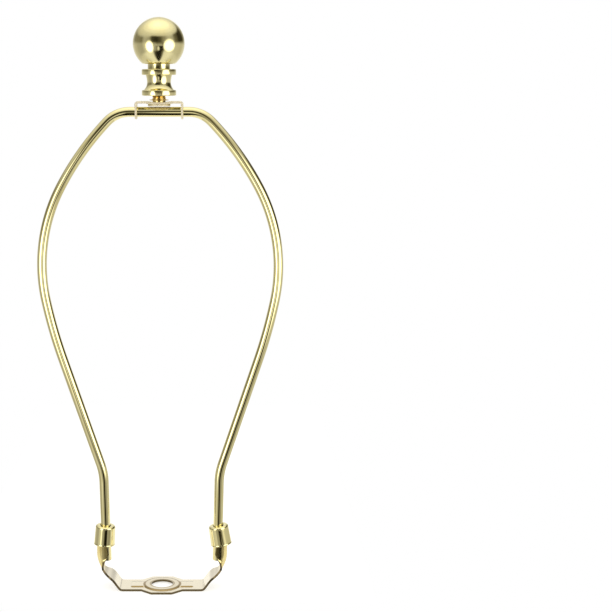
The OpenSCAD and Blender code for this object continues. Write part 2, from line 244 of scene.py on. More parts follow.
# a narrow cone softens the edge of the flat, by degrees on the ball and a width on the flat
CONE_TURN = 1.2
CONE_WIDTH = 0.25
flat_angle = -math.degrees(math.asin(BALL_RISE / BALL_R))
flat_r = BALL_R * math.cos(math.radians(flat_angle))
ball_arc = arc_chain((0, BALL_RISE), BALL_R, 90, flat_angle + CONE_TURN, 64)
flat_line = [Vector((flat_r - CONE_WIDTH, 0)), Vector((0, 0))]
finial_ball = spun("finial_ball_turned", ball_arc + flat_line)
smooth(place(finial_ball, (0, 0, BALL_Z)), 50)

# %% [markdown]
# ## The stud
# The stud's round head sits under the bracket's plate. Over the plate come a thin collar and the
# thread. The thread is real: the bare shank is spun with many rings, and every point is then
# pulled in by how far it lies from the crest of a helix. That keeps one closed mesh, where the
# Screw modifier would leave open ends.

# %% Stud sizes, with heights from the dished plate's top
HEAD_R = 5.1
HEAD_LOW = -1.9
HEAD_TOP = -1.0
SHANK_R = 2.5
RIVET_R = 2.95
RIVET_TOP = 0.6
COLLAR_R = 4.4
COLLAR_LOW = 0.85
COLLAR_TOP = 1.05
COLLAR_END = 1.3
STUD_TOP = 11.8
CHAMFER = 0.5

# %% Thread sizes
THREAD_R = 3.175
THREAD_DEEP = 0.5
PITCH = 25.4 / 27
THREAD_FROM = 1.35
THREAD_TO = 11.3
THREAD_RINGS = 110
# over this height the thread runs in from nothing, and this power makes its crests a little rounder
RUN_IN = 0.4
CREST_POWER = 1.15

# %% Stud
riveted = rounded([
    (0, HEAD_LOW, 0), (HEAD_R, HEAD_LOW, 0.35), (HEAD_R, HEAD_TOP, 0.2), (SHANK_R, HEAD_TOP, 0),
    (SHANK_R, 0, 0), (RIVET_R, 0, 0), (RIVET_R, RIVET_TOP, 0), (COLLAR_R, COLLAR_LOW, 0.1),
    (COLLAR_R, COLLAR_TOP, 0.1), (THREAD_R, COLLAR_END, 0)], 4)
shank = [Vector((THREAD_R, THREAD_FROM + (THREAD_TO - THREAD_FROM) * k / THREAD_RINGS))
         for k in range(THREAD_RINGS + 1)]
stud_end = rounded([(THREAD_R - CHAMFER, STUD_TOP, 0), (0, STUD_TOP, 0)])
stud = spun("stud_turned", riveted + shank + stud_end, steps=72)
for v in stud.data.vertices:
    x, y, z = (c / MM for c in v.co)
    radius = math.hypot(x, y)
    if THREAD_FROM <= z <= THREAD_TO + 0.01 and abs(radius - THREAD_R) < 0.01:
        phase = (z / PITCH - math.atan2(y, x) / math.tau) % 1
        fade = min(1, (z - THREAD_FROM) / RUN_IN)
        depth = THREAD_DEEP * fade * (1 - abs(2 * phase - 1)) ** CREST_POWER
        v.co.x *= (THREAD_R - depth) / radius
        v.co.y *= (THREAD_R - depth) / radius
smooth(place(stud, (0, 0, PLATE_Z - DISH)), 35)

# %% Give the head its own finish
# the stud's head gets the pale dull finish; on the polished head its pale colour is a painted
# highlight
for slot_number in range(2):
    stud.data.materials.append(None)
head_limit = (PLATE_Z - DISH + HEAD_TOP + 0.05) * MM
for face in stud.data.polygons:
    if face.center.z < head_limit:
        face.material_index = 1
print("head faces", sum(face.material_index for face in stud.data.polygons))

# %% [markdown]
# ## The sleeves
# A sleeve is drawn from thin sheet: a tube with a turned-in top that rides on the wire, and a lower
# rim that flares a hair. Its profile is a closed chain, so that the spun piece has a real wall.
# One is made and copied, and each of the two leans as it hangs on its own leg.

# %% Sleeves
SLEEVE_L = 9.4
SLEEVE_TOP_R = 4.7
SLEEVE_LOW_R = 4.95
SLEEVE_T = 0.45
MOUTH_R = 2.75
SLEEVE_Z = 30.5
LEFT_LEAN = 4.3
RIGHT_LEAN = 9.2
LEG_LEAN = 1.3
SHOULDER = 1.1
FLARE = 0.08
FLARE_H = 0.35
shoulder_middle = (SLEEVE_TOP_R - SHOULDER, SLEEVE_L - SHOULDER)
outer_top = arc_chain(shoulder_middle, SHOULDER, 0, 90, 10)
inner_top = arc_chain(shoulder_middle, SHOULDER - SLEEVE_T, 90, 0, 10)
lip = arc_chain((MOUTH_R, SLEEVE_L - SLEEVE_T / 2), SLEEVE_T / 2, 90, 270, 8)
# over the flared rim the wall draws in by 0.02 mm, and bulges by 0.03 mm under the shoulder
wall = rounded([(SLEEVE_LOW_R - SLEEVE_T, 0, 0), (SLEEVE_LOW_R + FLARE, 0, 0.12),
                (SLEEVE_LOW_R + FLARE, FLARE_H, 0.12), (SLEEVE_LOW_R - 0.02, FLARE_H + 0.3, 0.3),
                (SLEEVE_TOP_R + 0.03, SLEEVE_L - SHOULDER - 1, 0)], 4)
sleeve_right = spun("sleeve_right_drawn", wall + outer_top + lip + inner_top, closed=True, steps=80)
place(sleeve_right, (0, 0, -SLEEVE_L))
sleeve_left = sleeve_right.copy()
sleeve_left.data = sleeve_right.data.copy()
sleeve_left.name = "sleeve_left_drawn"
bpy.context.scene.collection.objects.link(sleeve_left)
sleeve_x = END_GAP / 2 + (SLEEVE_Z - WIRE_END_Z) * math.tan(math.radians(LEG_LEAN))
smooth(place(sleeve_right, (sleeve_x, 0, SLEEVE_Z), -RIGHT_LEAN), 40)
smooth(place(sleeve_left, (-sleeve_x, 0, SLEEVE_Z), LEFT_LEAN), 40)

# %% [markdown]
# ## The wire loop
# One round wire is bent into the whole loop. A curve object with a round bevel would be quick, but
# Spin bends a real cross-section by true arcs, as a former does. Half the loop is made, from the
# middle of its straight top down to the wire's end, and mirrored.

# %% Wire path
TOP_HALF = 13.5
TAPER = 18.5
CORNER_R = 14.1
CORNER_TURN = 46.1
UPPER_R = 133.6
UPPER_TURN = 61.9
BELLY_R = 78.3
BELLY_TURN = 101.4
LOWER_R = 235
LEG_BEND_R = 30.5
side_path = [(CORNER_R, -CORNER_TURN), (UPPER_R, CORNER_TURN - UPPER_TURN),
             (BELLY_R, UPPER_TURN - BELLY_TURN), (LOWER_R, BELLY_TURN - 90 - TAPER)]
leg_bend = (LEG_BEND_R, TAPER - LEG_LEAN)
arcs_end = marks(side_path, Vector((TOP_HALF, WIRE_TOP_Z)), 0)[-1][0]
bend_run = along(leg_bend, Vector((0, 0)), -90 - TAPER, 1)[0]
left_over = Vector((END_GAP / 2, WIRE_END_Z)) - arcs_end - bend_run
taper_dir = heading(-90 - TAPER)
leg_dir = heading(-90 - LEG_LEAN)
det = taper_dir.x * leg_dir.y - taper_dir.y * leg_dir.x
taper_l = (left_over.x * leg_dir.y - left_over.y * leg_dir.x) / det
leg_l = (taper_dir.x * left_over.y - taper_dir.y * left_over.x) / det
side_path += [(taper_l, 0), leg_bend, (leg_l, 0)]
print("straight side", round(taper_l, 2), "leg", round(leg_l, 2))

# %% [markdown]
# The section is a circle, turned to face along the straight top. A straight is extruded in short
# steps, and an arc is a spin about the former's centre. Both carry the selected end ring with
# them, so the next stretch starts where the last one ended. The end is measured at the close.

# %% Bend the wire
WIRE_SIDES = 40
ARC_STEP = 1.6
STRAIGHT_STEP = 4
bpy.ops.object.select_all(action="DESELECT")
bpy.ops.mesh.primitive_circle_add(vertices=WIRE_SIDES, radius=WIRE_R * MM, location=(0, 0, 0))
wire = bpy.context.object
wire.name = "harp_wire_bent"
wire.rotation_euler = (0, math.radians(90), 0)
wire.location = (0, 0, WIRE_TOP_Z * MM)
bpy.ops.object.transform_apply(location=True, rotation=True, scale=True)
bpy.ops.object.mode_set(mode="EDIT")
bpy.ops.mesh.select_all(action="SELECT")
point, angle = Vector((0, WIRE_TOP_Z)), 0
for size, turn in [(TOP_HALF, 0)] + side_path:
    if turn:
        middle = arc_middle(point, angle, size, turn) * MM
        rings = max(6, round(size * math.radians(abs(turn)) / ARC_STEP))
        bpy.ops.mesh.spin(steps=rings, angle=math.radians(turn), center=(middle.x, 0, middle.y),
                          axis=(0, 1, 0), use_auto_merge=False)
        point, angle = along((size, turn), point, angle, 1)
    else:
        rings = max(1, round(size / STRAIGHT_STEP))
        for _ in range(rings):
            there, angle = along((size / rings, 0), point, angle, 1)
            step = (there - point) * MM
            bpy.ops.mesh.extrude_region_move(TRANSFORM_OT_translate={"value": (step.x, 0, step.y)})
            point = there
bpy.ops.object.mode_set(mode="OBJECT")
picked = [v.co for v in wire.data.vertices if v.select]
seen = sum(picked, Vector()) / len(picked) / MM
print("wire end", [round(c, 3) for c in seen], "should be at", round(END_GAP / 2, 3), WIRE_END_Z)

# %% [markdown]
# The wire is sheared off and tumbled, so its end has a small chamfer. The last ring is drawn back,
# two short extrusions grow it out again while it shrinks, and one face closes it. The mirror then
# makes the other half and joins it in the middle of the straight top.

# %% Mirror a half
def mirror_half(piece, name):
    """Makes the other half of a piece across the middle plane."""
    only(piece)
    mirror = piece.modifiers.new(name, "MIRROR")
    mirror.use_axis = (True, False, False)
    mirror.merge_threshold = 1e-5
    bpy.ops.object.modifier_apply(modifier=mirror.name)


# %% Close the end and mirror the half
bpy.ops.object.mode_set(mode="EDIT")
end = Vector((END_GAP / 2, WIRE_END_Z)) * MM
end_chamfer = 0.15
bpy.ops.transform.translate(value=(-leg_dir.x * end_chamfer * MM, 0, -leg_dir.y * end_chamfer * MM))
for inset in (0.045, 0.105):
    onward = leg_dir * inset * MM
    bpy.ops.mesh.extrude_region_move(TRANSFORM_OT_translate={"value": (onward.x, 0, onward.y)})
    bpy.ops.transform.resize(value=(1 - inset / WIRE_R,) * 3, center_override=(end.x, 0, end.y))
bpy.ops.mesh.edge_face_add()
bpy.ops.object.mode_set(mode="OBJECT")
mirror_half(wire, "other half")
bpy.ops.object.mode_set(mode="EDIT")
bpy.ops.mesh.select_all(action="SELECT")
bpy.ops.mesh.remove_doubles(threshold=1e-6)
bpy.ops.mesh.normals_make_consistent(inside=False)
bpy.ops.object.mode_set(mode="OBJECT")
smooth(wire, 40)

# %% [markdown]
# ## Growing a sheet from its hole
# The saddle and the bracket start as flat blanks with a pierced hole. Their mesh is grown in the
# same way: a circle is the hole's rim, each extrusion adds one ring of faces, and the new ring is
# then set on its line. The rim stays round, and the mesh lines follow the blank's outline. A grid
# with a hole cut by a boolean would leave long thin triangles that show in polished metal.

# %% Grow rings and rows
def start_rim(name, rim):
    """A closed ring of points, from a circle whose points are moved onto the given ones."""
    bpy.ops.object.select_all(action="DESELECT")
    bpy.ops.mesh.primitive_circle_add(vertices=len(rim), radius=MM, location=(0, 0, 0))
    piece = bpy.context.object
    piece.name = name
    for v, p in zip(piece.data.vertices, rim):
        v.co = Vector(p) * MM
    return piece


def picked_edges(piece, here):
    """Selects the points of a mesh that lie at the given places, and the edges between them."""
    bpy.ops.object.mode_set(mode="OBJECT")
    places = [Vector(p) * MM for p in here]
    keys = {}
    for i, p in enumerate(places):
        keys.setdefault(tuple(round(c * 1e6) // 10 for c in p), i)
    found = {}
    for v in piece.data.vertices:
        v.select = False
        base = tuple(round(c * 1e6) // 10 for c in v.co)
        for dx in (-1, 0, 1):
            for dy in (-1, 0, 1):
                for dz in (-1, 0, 1):
                    i = keys.get((base[0] + dx, base[1] + dy, base[2] + dz))
                    if i is not None and (v.co - places[i]).length < 2e-6:
                        found[v.index] = i
    for edge in piece.data.edges:
        edge.select = edge.vertices[0] in found and edge.vertices[1] in found
    for face in piece.data.polygons:
        face.select = False
    for i in found:
        piece.data.vertices[i].select = True
    bpy.ops.object.mode_set(mode="EDIT")
    return found


def grow(piece, here, there):
    """Extrudes the row of points at one list of places and sets the new row on another list."""
    before = len(piece.data.vertices)
    picked_edges(piece, here)
    bpy.ops.mesh.extrude_region_move(TRANSFORM_OT_translate={"value": (0, 0, 0)})
    bpy.ops.object.mode_set(mode="OBJECT")
    places = [Vector(p) * MM for p in here]
    for v in piece.data.vertices[before:]:
        i = min(range(len(places)), key=lambda k: (v.co - places[k]).length_squared)
        v.co = Vector(there[i]) * MM
    return there


def thicken(piece, thickness, edge, segments=3):
    """Gives the sheet its thickness about its middle, and softens its cut edges."""
    only(piece)
    bpy.ops.object.mode_set(mode="EDIT")
    bpy.ops.mesh.select_all(action="SELECT")
    bpy.ops.mesh.remove_doubles(threshold=1e-6)
    bpy.ops.mesh.normals_make_consistent(inside=False)
    bpy.ops.object.mode_set(mode="OBJECT")
    wall = piece.modifiers.new("sheet", "SOLIDIFY")
    wall.thickness = thickness * MM
    wall.offset = 0
    wall.use_even_offset = True
    piece.data.materials.append(None)
    piece.data.materials.append(None)
    wall.material_offset_rim = 1
    bpy.ops.object.modifier_apply(modifier=wall.name)
    soft = piece.modifiers.new("cut edge", "BEVEL")
    soft.width = edge * MM
    soft.segments = segments
    soft.limit_method = "ANGLE"
    soft.angle_limit = math.radians(50)
    bpy.ops.object.modifier_apply(modifier=soft.name)
    bpy.ops.object.mode_set(mode="EDIT")
    bpy.ops.mesh.select_all(action="SELECT")
    bpy.ops.mesh.normals_make_consistent(inside=False)
    bpy.ops.object.mode_set(mode="OBJECT")
    return piece


# %% [markdown]
# ## The saddle
# The saddle is stamped from one strip: an eight-sided pad with the pipe hole, a raised ring and two
# raised tongues that stiffen it, and an arm each side. Each arm bends up in an S, narrows to a neck
# and curls into a trough for the wire. The blank is grown from the hole outward, and every new row
# along an arm is set on its curled section.

# %% Saddle sizes and arm path
HOLE_R = 5.2
STRIP_HALF = 6.75
PAD = [(9.7, STRIP_HALF), (4.9, 11), (-4.9, 11), (-9.7, STRIP_HALF)]
RING_R = 9.0
TONGUE_X = 15.2
TONGUE_HALF = 3.4
BASE_HALF = 17.5
FOOT_X = 18.6
TROUGH_X = END_GAP / 2 + 4.2
TROUGH_TOP = 27.3
NECK_HALF = 3.4
TROUGH_HALF = 2.95
# 0.6 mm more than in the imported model, as the flanks look in the photo
FLANK = 2.4
FOOT_BEND_R = 2.1
FOOT_TURN = 54.5
SHELF_BEND_R = 9.5
SHELF_TURN = 29.2
NECK_BEND_R = 7.5
NECK_TURN = 49.5
CUP_BEND_R = 12.9


def arm_path(slope, cup):
    """The arm's bends for a given length of its slope and of the trough's upright part."""
    return [(FOOT_X - BASE_HALF, 0), (FOOT_BEND_R, FOOT_TURN), (slope, 0),
            (SHELF_BEND_R, SHELF_TURN - FOOT_TURN), (NECK_BEND_R, NECK_TURN - SHELF_TURN),
            (CUP_BEND_R, 90 - NECK_TURN), (cup, 0)]


arm_from = Vector((BASE_HALF, SHEET / 2))
slope = (TROUGH_X - marks(arm_path(0, 0), arm_from, 0)[-1][0].x) / math.cos(math.radians(FOOT_TURN))
cup = TROUGH_TOP - marks(arm_path(slope, 0), arm_from, 0)[-1][0].y
saddle_path = arm_path(slope, cup)
saddle_marks = marks(saddle_path, arm_from, 0)
# the stretches of the path that curl into the trough and then run up it
CUP_BEND = 5
CUP_WALL = 6
cup_x = saddle_marks[CUP_BEND][0].x
print("slope", round(slope, 2), "trough wall", round(cup, 2))

# %% [markdown]
# Each section of an arm is one row of points. On the slope it is flat. In the trough it is curled
# by up to 90 degrees each way into a half round, and its flanks run on straight. Every row has its
# points at the same shares of its width, closer together where the tongues' edges will be, so the
# lines of the mesh run from the pad to the trough without a step.

# %% Arm sections
NARROW_FROM = FOOT_X + 5
NARROW_TO = cup_x + 1.2
CURL_FROM = 0.1
CURL_OVER = 0.55
WIDTH_OVER = 0.6
FLANK_FROM = 0.2
FLANK_LOSS = 0.6
half_columns = [0, 0.16, 0.31, 0.4, 0.455, 0.48, 0.503, 0.527, 0.55, 0.6, 0.7, 0.81, 0.92, 1]
columns = [-c for c in reversed(half_columns[1:])] + half_columns


def clamped(share):
    """Keeps a share between 0 and 1."""
    return min(1, max(0, share))


def eased(share):
    """Runs from 0 to 1, slowly at both ends."""
    return (1 - math.cos(math.pi * clamped(share))) / 2


def strip_half(x):
    """Half the flat strip's width: full at the foot and narrow at the neck."""
    share = (x - NARROW_FROM) / (NARROW_TO - NARROW_FROM)
    return STRIP_HALF - (STRIP_HALF - NECK_HALF) * eased(share)


def section(point, angle, cup_share, top_share):
    """The points across one section of the arm, flat on the strip and curled in the trough."""
    curl = max(0.5, 90 * clamped((cup_share - CURL_FROM) / CURL_OVER))
    half = (strip_half(point.x) if cup_share == 0
            else NECK_HALF + (TROUGH_HALF - NECK_HALF) * eased(cup_share / WIDTH_OVER))
    radius = half / math.sin(math.radians(curl))
    arc = radius * math.radians(curl)
    grown = clamped((cup_share - FLANK_FROM) / (1 - FLANK_FROM))
    run = FLANK * grown * (1 - FLANK_LOSS * top_share) if cup_share else 0
    found = []
    for c in columns:
        reach = abs(c) * (arc + run)
        bend = math.radians(min(reach / arc, 1) * curl)
        past = max(reach - arc, 0)
        across = math.copysign(radius * math.sin(bend) + past * math.cos(bend), c)
        rise = radius * (1 - math.cos(bend)) + past * math.sin(bend)
        spot = point + rise * heading(angle + 90)
        found.append((spot.x, across, spot.y))
    return found


# %% [markdown]
# Rings round the hole stay circles as far as the raised ring reaches, with a closer set where it
# slopes down. The last rings then blend from the circle to the pad's eight-sided outline. The
# points that face an arm already lie on the arm's columns.

# %% Grow the pad from the hole
end_ys = [c * STRIP_HALF for c in columns]
SPREAD = 9.4
SIDE_STEPS = (11, 20, 11)
RINGS = (5.45, 5.8, 6.2, 6.6, 7.0, 7.4, 7.8, 8.1, 8.4, 8.65, 8.9, 9.15, SPREAD)
side_count = sum(SIDE_STEPS)
corner = math.degrees(math.asin(STRIP_HALF / SPREAD))
right_angles = [math.degrees(math.asin(y / SPREAD)) for y in end_ys]
upper_angles = [corner + (180 - 2 * corner) * k / side_count for k in range(1, side_count)]
left_angles = [180 - a for a in reversed(right_angles)]
angles = right_angles + upper_angles + left_angles + [a + 180 for a in upper_angles]


def on_outline(share):
    """A point at a share of the steps along the pad's upper edge, from its right end to its left."""
    spans = [(Vector(a), Vector(b)) for a, b in zip(PAD, PAD[1:])]
    step = share * side_count
    for (a, b), n in zip(spans, SIDE_STEPS):
        if step <= n:
            return a + (b - a) * step / n
        step -= n
    return Vector(PAD[-1])


upper_edge = [on_outline(k / side_count) for k in range(1, side_count)]
outline = ([(PAD[0][0], y) for y in end_ys] + [tuple(p) for p in upper_edge]
           + [(PAD[-1][0], y) for y in reversed(end_ys)] + [(-p.x, -p.y) for p in upper_edge])
MID = SHEET / 2


def ring_of(radius):
    """The points of one circle round the hole, at mid thickness."""
    return [(radius * math.cos(math.radians(a)), radius * math.sin(math.radians(a)), MID)
            for a in angles]


saddle = start_rim("saddle_stamped", ring_of(HOLE_R))
row = ring_of(HOLE_R)
for radius in RINGS:
    row = grow(saddle, row, ring_of(radius))
circle_row = row
for share in (0.35, 0.7, 1):
    edge_row = [(c[0] + (o[0] - c[0]) * share, c[1] + (o[1] - c[1]) * share, MID)
                for c, o in zip(circle_row, outline)]
    row = grow(saddle, row, edge_row)
print("pad", len(saddle.data.polygons), "faces")

# %% [markdown]
# Only the right arm is grown, row by row, first along the flat base with closer rows at the
# tongue's tip, and then along the bends. The left side of the pad is cut away afterwards.

# %% Grow the arms
count = len(end_ys)
right_row = row[:count]
BASE_XS = (9.95, 10.3, 10.8, 11.4, 12, 12.5, 13, 13.5, 13.9, 14.2, 14.5, 14.8, 15.1, 15.4, 15.8,
           16.4, BASE_HALF)
ARM_STEPS = (1, 9, 3, 6, 6, 18, 5)
for x in BASE_XS:
    right_row = grow(saddle, right_row, [(x, y, MID) for y in end_ys])
for i, stretch in enumerate(saddle_path):
    for k in range(1, ARM_STEPS[i] + 1):
        share = k / ARM_STEPS[i]
        spot, direction = along(stretch, *saddle_marks[i], share)
        cup_share = 0 if i < CUP_BEND else (share if i == CUP_BEND else 1)
        top_share = share if i == CUP_WALL else 0
        right_row = grow(saddle, right_row, section(spot, direction, cup_share, top_share))
print("arm top at", [round(c, 2) for c in right_row[count // 2]])

# %% [markdown]
# The ring and the tongues are pressed up from below. The points of the sheet are lifted by smooth
# ramps across their slopes. Each point also gets a share of brown painted shade, strongest in the
# creases of the press and at the hole's rim, which the strip's finish reads as an attribute.

# %% Emboss the ring and the tongues
RING_H = 0.5
TONGUE_H = 0.35


def ramp(value, start, end):
    """Runs smoothly from 0 at start to 1 at end."""
    t = clamped((value - start) / (end - start))
    return t * t * (3 - 2 * t)


def stripe(value, start, end, soft):
    """1 between two values, running to 0 over a soft width on both sides."""
    return ramp(value, start - soft, start) * (1 - ramp(value, end, end + soft))


# each point's share of brown painted shade, along the ring, the tongues' sides and the hole's rim
painted_crease_shade = saddle.data.attributes.new("painted_crease_shade", "FLOAT", "POINT")
for v in saddle.data.vertices:
    x, y = abs(v.co.x / MM), abs(v.co.y / MM)
    if x < BASE_HALF - 0.1 and v.co.z < 0.6 * MM:
        radius = math.hypot(x, y)
        ring = 1 - ramp(radius, RING_R - 0.75, RING_R + 0.1)
        side = 1 - ramp(y, TONGUE_HALF - 0.35, TONGUE_HALF + 0.05)
        tip = 1 - ramp(x, TONGUE_X - 1.2, TONGUE_X)
        v.co.z += max(RING_H * ring, TONGUE_H * side * tip) * MM
        on_ring = stripe(radius, RING_R - 1.0, RING_R - 0.05, 0.3)
        on_side = stripe(y, TONGUE_HALF - 0.33, TONGUE_HALF + 0.16, 0.15) * (radius > RING_R)
        on_side *= stripe(x, RING_R, TONGUE_X - 0.8, 0.5)
        inner = stripe(radius, HOLE_R + 0.3, HOLE_R + 0.7, 0.4)
        painted_crease_shade.data[v.index].value = max(0.95 * on_ring, on_side, 0.8 * inner, 0.15 * ring)
print("creased points", sum(share.value > 0.5 for share in painted_crease_shade.data))

# %% [markdown]
# The sheet is still a skin at mid thickness. It is cut at the middle plane and mirrored, Solidify
# gives it its wall, and a narrow bevel takes the sharpness off its cut edges. The faces of the cut
# edge get a material of their own.

# %% Mirror the arm, thicken the sheet and soften its edges
def cut_half(piece):
    """Cuts away what lies past the middle plane, so that the mirror meets a straight edge there."""
    only(piece)
    bpy.ops.object.mode_set(mode="EDIT")
    bpy.ops.mesh.select_all(action="SELECT")
    bpy.ops.mesh.bisect(plane_co=(0, 0, 0), plane_no=(1, 0, 0), clear_inner=True, threshold=1e-7)
    bpy.ops.object.mode_set(mode="OBJECT")


cut_half(saddle)
mirror_half(saddle, "other arm")
thicken(saddle, SHEET, 0.2)
smooth(saddle, 50)

# %% [markdown]
# ## The swivel bracket
# The bracket is a short strip bent into a channel. Its plate is dished round the stud, and an ear
# hangs at each end with a hole for the wire. It is grown like the saddle: from the stud's hole out
# to the plate's ends, round each bend, and down to the ear, whose ring is grown from the wire hole
# and then joined on.

# %% Bracket sizes
BRACKET_HALF = 10.95
PLATE_HALF = 4.5
SHANK_HOLE = 2.55
DISH_R = 4.7
DISH_RIM = 7.2
EAR_R = 3.3
EAR_HOLE = WIRE_R + 0.08
BEND = 0.9
HALF_COUNT = 8
plate_mid = PLATE_Z - SHEET / 2
ear_x = BRACKET_HALF - SHEET / 2
bend_x = ear_x - BEND
across = [PLATE_HALF * c / HALF_COUNT for c in range(-HALF_COUNT, HALF_COUNT + 1)]


def dish_drop(x, y):
    """How far the dish lies under the plate at a place."""
    return DISH * (1 - ramp(math.hypot(x, y), DISH_R, DISH_RIM))


# %% Grow the plate
plate_right = [math.degrees(math.atan2(y, PLATE_HALF)) for y in across]
plate_upper = [45 + 90 * k / (2 * HALF_COUNT) for k in range(1, 2 * HALF_COUNT)]
plate_angles = (plate_right + plate_upper + [180 - a for a in reversed(plate_right)]
                + [a + 180 for a in plate_upper])


def on_square(a):
    """Where a ray at an angle meets the plate's middle square."""
    d = heading(a)
    return d * (PLATE_HALF / max(abs(d.x), abs(d.y)))


def plate_ring(share):
    """The points at a share of the way from the stud's hole to the middle square."""
    found = []
    for a in plate_angles:
        p = (heading(a) * SHANK_HOLE).lerp(on_square(a), share)
        found.append((p.x, p.y, plate_mid - dish_drop(p.x, p.y)))
    return found


row = plate_ring(0)
bracket = start_rim("bracket_bent", row)
for share in (0.12, 0.3, 0.5, 0.7, 0.88, 1):
    row = grow(bracket, row, plate_ring(share))
end_row = row[:len(across)]
for x in (5, 5.4, 5.8, 6.2, 6.6, 7, 7.4, 8.2, bend_x):
    end_row = grow(bracket, end_row, [(x, y, plate_mid - dish_drop(x, y)) for y in across])
print("plate", len(bracket.data.polygons), "faces")

# %% [markdown]
# The end of the plate is bent down in short steps. The ear below it is drilled, so it is grown from
# its own hole, out to an outline whose top row has the same points as the bent strip. Joined and
# merged, the two are one sheet.

# %% Bend the end down and grow the ear
BEND_STEPS = 8
EAR_START = 2
EAR_SIDE_STEPS = 4
EAR_END_STEPS = 40
for k in range(1, BEND_STEPS + 1):
    turn = 90 * k / BEND_STEPS
    spot = Vector((bend_x, plate_mid - BEND)) + BEND * heading(90 - turn)
    end_row = grow(bracket, end_row, [(spot.x, y, spot.y) for y in across])
ear_top = WIRE_TOP_Z + PLATE_RISE - EAR_START
end_row = grow(bracket, end_row, [(ear_x, y, ear_top) for y in across])


def ear_edge():
    """The ear's outline round the wire hole: its top row, and the sides down to the round end."""
    top = [Vector((y, ear_top - WIRE_TOP_Z)) for y in reversed(across)]
    shoulder = Vector((-PLATE_HALF, PLATE_RISE - EAR_START))
    waist_point = Vector((-EAR_R, 0))
    sides = [shoulder.lerp(waist_point, k / EAR_SIDE_STEPS) for k in range(1, EAR_SIDE_STEPS)]
    under = arc_chain((0, 0), EAR_R, 180, 360, EAR_END_STEPS)
    return top + sides + under + [Vector((-p.x, p.y)) for p in reversed(sides)]


edge = ear_edge()


def ear_ring(share):
    """The points at a share of the way from the ear's hole to its outline."""
    found = []
    for p in edge:
        q = (p.normalized() * EAR_HOLE).lerp(p, share)
        found.append((ear_x, q.x, WIRE_TOP_Z + q.y))
    return found


row = ear_ring(0)
ear = start_rim("ear", row)
for share in (0.25, 0.6, 1):
    row = grow(ear, row, ear_ring(share))
only(bracket)
ear.select_set(True)
bpy.ops.object.join()

# %% Mirror the bracket, thicken it and soften its edges
bpy.ops.object.mode_set(mode="EDIT")
bpy.ops.mesh.select_all(action="SELECT")
bpy.ops.mesh.remove_doubles(threshold=1e-6)
bpy.ops.object.mode_set(mode="OBJECT")
cut_half(bracket)
mirror_half(bracket, "other ear")
thicken(bracket, SHEET, 0.15)
smooth(bracket, 50)

# %% [markdown]
# ## Metal finishes
# All of it is brass or brass plating, but it doesn't all shine alike. The wire was drawn and
# buffed and is the brightest, the stamped sheet is satin, and the finial was turned and polished.
# Each finish is one Principled shader at full metallic, with small changes of colour, roughness
# and bump from noise in object coordinates. A plain colour would look like plastic, because the
# eye reads metal by its uneven gloss.

# %% A finish from noise
BRASS = (0.80, 0.725, 0.39, 1)
BRASS_WARM = (0.78, 0.69, 0.34, 1)
# the saddle's plating on its flat and the bracket's edges, and a painted highlight on the stud's
# head
PALE = (0.88, 0.80, 0.61, 1)
# a dark brown painted shade for the saddle's cut edges
EDGE_SHADE_PAINT = (0.12, 0.09, 0.045, 1)
# a dark brown painted shade for the creases of the saddle's press
CREASE_SHADE_PAINT = (0.29, 0.2, 0.075, 1)
STUD = (0.74, 0.55, 0.22, 1)
# the saddle's troughs: a deeper gold than its pale flat, a painted reflection of the brass and shade
# round them
PAINTED_TROUGH_REFLECTION = (0.74, 0.62, 0.28, 1)
PAINTED_TROUGH_REFLECTION_DARK = (0.68, 0.55, 0.22, 1)


def mixed(nodes, links, share, first, second):
    """Mixes two colours, which are values or other nodes' outputs, by a share."""
    node = nodes.new("ShaderNodeMix")
    node.data_type = "RGBA"
    for number, value in ((0, share), (6, first), (7, second)):
        socket = node.inputs[number]
        if isinstance(value, (float, tuple)):
            socket.default_value = value
        else:
            links.new(value, socket)
    return node.outputs[2]


